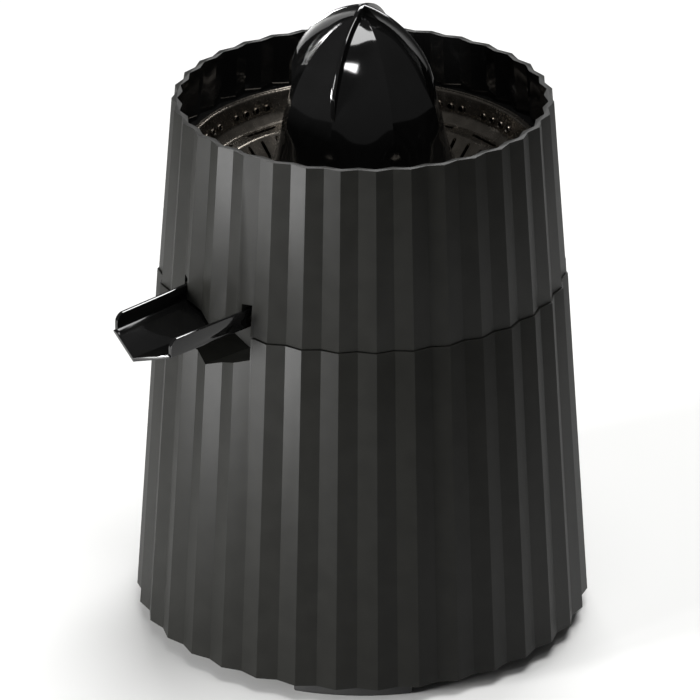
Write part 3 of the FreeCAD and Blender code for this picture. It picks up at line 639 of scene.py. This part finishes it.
# %% Dish: small holes and collars
hole_z = lip_z - 6.4
hole_r = 71.0
holes_per_group = 4
hole_pitch = 4.7         # degrees
deselect_all()
bpy.ops.mesh.primitive_cylinder_add(vertices=16, radius=1.0 * MM, depth=8 * MM,
                                    rotation=(0, math.pi / 2, 0),
                                    location=(hole_r * MM, 0, hole_z * MM))
hole = bpy.context.object
hole.scale = (1.25, 2.3, 1.0)
settle(hole, "hole_cutter")
deselect_all()
bpy.ops.mesh.primitive_torus_add(major_segments=20, minor_segments=6, major_radius=1.4 * MM,
                                 minor_radius=0.28 * MM, rotation=(0, math.pi / 2 + 0.2, 0),
                                 location=((hole_r - 0.2) * MM, 0, hole_z * MM))
collar = bpy.context.object
collar.scale = (1.0, 1.0, 1.75)
settle(collar, "collar")
cutters, collars = [], []
for group in range(groups):
    for k in range(holes_per_group):
        turn = (group + 0.5) * 360 / groups + (k - (holes_per_group - 1) / 2) * hole_pitch
        cutters.append(copy_turned(hole, turn))
        collars.append(copy_turned(collar, turn))
for spare in (hole, collar):
    bpy.data.objects.remove(spare)
cut(dish, join(cutters, "hole_cutters"))
print("holes:", len(collars))

# %% Dish: rolled lip
deselect_all()
bead_r = 0.75
bead_ring_r = 74.2
bpy.ops.mesh.primitive_torus_add(major_segments=dish_segments, minor_segments=10,
                                 major_radius=bead_ring_r * MM, minor_radius=bead_r * MM,
                                 location=(0, 0, (lip_z - 0.5) * MM))
lip_bead = bpy.context.object
settle(lip_bead, "lip_bead")
dish = join([dish, lip_bead] + collars, "strainer_dish")
smooth(dish, 35)
finish_piece(dish, "strainer", ["strainer"], [stainless])

# %% [markdown]
# ## The spout
# The spout is a V-floored trough with a round drum at its root, which turns in the
# base notch and stops the drip when it is tilted up. Its exact shape comes from the
# CAD node, and a fine Bevel gives the thin bright edges of a polished moulding.

# %% Soften the spout
spout_bevel = 0.4        # mm
spout_piece = softened("spout", "juice_spout", spout_bevel)
finish_piece(spout_piece, "spout", ["spout"], [black_abs])

# %% [markdown]
# ## Finishes for the working parts
# The parts inside keep their CAD shapes and get real finishes: turned and ground
# steel, zinc plate, sintered bronze, brass, acetal, varnished laminations, enamelled
# copper wire and moulded rubber.

# %% Materials: metals of the drive
def turned_metal(name, dark, light, low, high, size_mm):
    """Fine tool marks are cross-wise streaks, so the noise is stretched flat."""
    material, tree, shader = new_material(name)
    place = object_coordinates(tree)
    squeeze = add_node(tree, "ShaderNodeMapping", [("Vector", place)])
    squeeze.inputs["Scale"].default_value = (1.0, 1.0, 6.0)
    tint_by_noise(tree, shader, squeeze.outputs["Vector"], 3 * size_mm, dark, light)
    noise = bump_by_noise(tree, shader, squeeze.outputs["Vector"], size_mm, 0.01, 0.25, detail=3.0)
    rough_by_noise(tree, shader, noise, low, high)
    shader.inputs["Metallic"].default_value = 1.0
    return material


def moulded(name, dark, light, low, high, grain_mm, height_mm):
    material, tree, shader = new_material(name)
    place = object_coordinates(tree)
    tint_by_noise(tree, shader, place, 8.0, dark, light)
    noise = bump_by_noise(tree, shader, place, grain_mm, height_mm, 0.3)
    rough_by_noise(tree, shader, noise, low, high)
    return material


finishes = {
    "base_plastic": charcoal_abs,
    "collector_plastic": charcoal_abs,
    "gloss_plastic": black_abs,
    "stainless": stainless,
    "nylon": moulded("natural_acetal", "#d9d6cc", "#e6e3da", 0.38, 0.5, 0.8, 0.02),
    "steel": turned_metal("ground_steel", "#b4b6b8", "#c6c8ca", 0.18, 0.32, 0.8),
    "zinc_steel": turned_metal("zinc_plated_steel", "#a9adb3", "#c3c7cc", 0.25, 0.42, 1.5),
    "bronze": turned_metal("sintered_bronze", "#8f6a3e", "#a67c4a", 0.42, 0.58, 0.5),
    "brass": turned_metal("turned_brass", "#b9974f", "#cbab62", 0.22, 0.36, 0.8),
    "switch_plastic": moulded("phenolic_moulding", "#1b1714", "#241f1b", 0.35, 0.5, 0.6, 0.02),
    "lamination": turned_metal("varnished_lamination_stack", "#55585b", "#6b6e71", 0.38, 0.52, 0.5),
    "copper_coil": turned_metal("enamelled_copper_winding", "#9c4f22", "#b9652f", 0.22, 0.38, 0.4),
    "rubber": moulded("moulded_rubber", "#141414", "#1c1c1b", 0.62, 0.78, 0.6, 0.04),
}
print("finishes:", len(finishes))

# %% Give every carried-over node its finish
carried = 0
for node_name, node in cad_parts.items():
    slot_name = node.data.materials[0].name.split(".")[0]
    finish = finishes.get(slot_name)
    if finish is None:
        print("no finish for", slot_name)
        continue
    node.data.materials.clear()
    node.data.materials.append(finish)
    carried += 1
print("nodes with a finish:", carried)

# %% [markdown]
# ## The return spring
# Pressing the cone pushes the spindle down 3 mm and shortens the spring on it. A
# merged copy of the spring, with a mesh of its own, stands for it and rides on the
# output body.

# %% A merged copy of the spring
spring = merged_copy("return_spring", "press_spring")
smooth(spring, smooth_below)
finish_piece(spring, "output", ["return_spring"], [finishes["zinc_steel"]])
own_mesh(spring)

# %% [markdown]
# ## Floor, lamps and camera
# A low softbox stands well to the left of the camera, so each pleat shows one lit and
# one dark facet. A wide panel overhead and one behind keep the floor pale, and a strip
# and a small window draw shapes on the polished cone. The room itself is dim.

# %% Floor
deselect_all()
bpy.ops.mesh.primitive_plane_add(size=8, location=(0, 0, 0))
floor = settle(bpy.context.object, "floor")
paper, tree, shader = new_material("white_background_paper")
shader.inputs["Base Color"].default_value = linear("#cdcdcc")
shader.inputs["Roughness"].default_value = 0.7
shader.inputs["Specular IOR Level"].default_value = 0.2
floor.data.materials.append(paper)
print("floor:", floor.dimensions.x, "m")

# %% Lamps
camera_azimuth = 47.74
aim = Vector((0, 0, 0.16))


def panel(name, azimuth, elevation, distance, width, height, watts):
    """A softbox that looks at the object from an azimuth, measured from -Y towards +X."""
    turn, rise = math.radians(azimuth), math.radians(elevation)
    flat = math.cos(rise)
    away = Vector((math.sin(turn) * flat, -math.cos(turn) * flat, math.sin(rise)))
    deselect_all()
    bpy.ops.object.light_add(type="AREA", location=aim + away * distance)
    lamp = bpy.context.object
    lamp.name = name
    lamp.rotation_euler = away.to_track_quat("Z", "Y").to_euler()
    lamp.data.shape = "RECTANGLE"
    lamp.data.size = width
    lamp.data.size_y = height
    lamp.data.energy = watts
    return lamp


panel("key_softbox", camera_azimuth - 62, 4, 1.6, 0.3, 0.45, 56)
panel("overhead_panel", camera_azimuth + 60, 80, 1.7, 1.0, 0.8, 28)
panel("rear_panel", camera_azimuth + 170, 45, 1.9, 1.2, 0.6, 34)
panel("left_strip", camera_azimuth - 50, 24, 1.5, 0.07, 0.4, 3)
panel("small_window", camera_azimuth + 8, 47, 1.6, 0.16, 0.12, 2.0)
world = bpy.data.worlds.new("dim_room")
world.use_nodes = True
world.node_tree.nodes["Background"].inputs["Color"].default_value = linear("#f4f4f4")
world.node_tree.nodes["Background"].inputs["Strength"].default_value = 0.12
bpy.context.scene.world = world
bpy.context.scene.view_settings.view_transform = "Standard"

# %% Camera
camera_place = Vector((1.4054, -1.2843, 1.0205))
looks_down = 25.34
camera_tilt = 90 - looks_down
bpy.ops.object.camera_add(location=camera_place,
                          rotation=(math.radians(camera_tilt), 0, math.radians(camera_azimuth)))
camera = bpy.context.object
camera.data.lens = 252.95
camera.data.sensor_width = 36
camera.data.clip_end = 50
bpy.context.scene.camera = camera
print("camera:", tuple(round(v, 3) for v in camera.location))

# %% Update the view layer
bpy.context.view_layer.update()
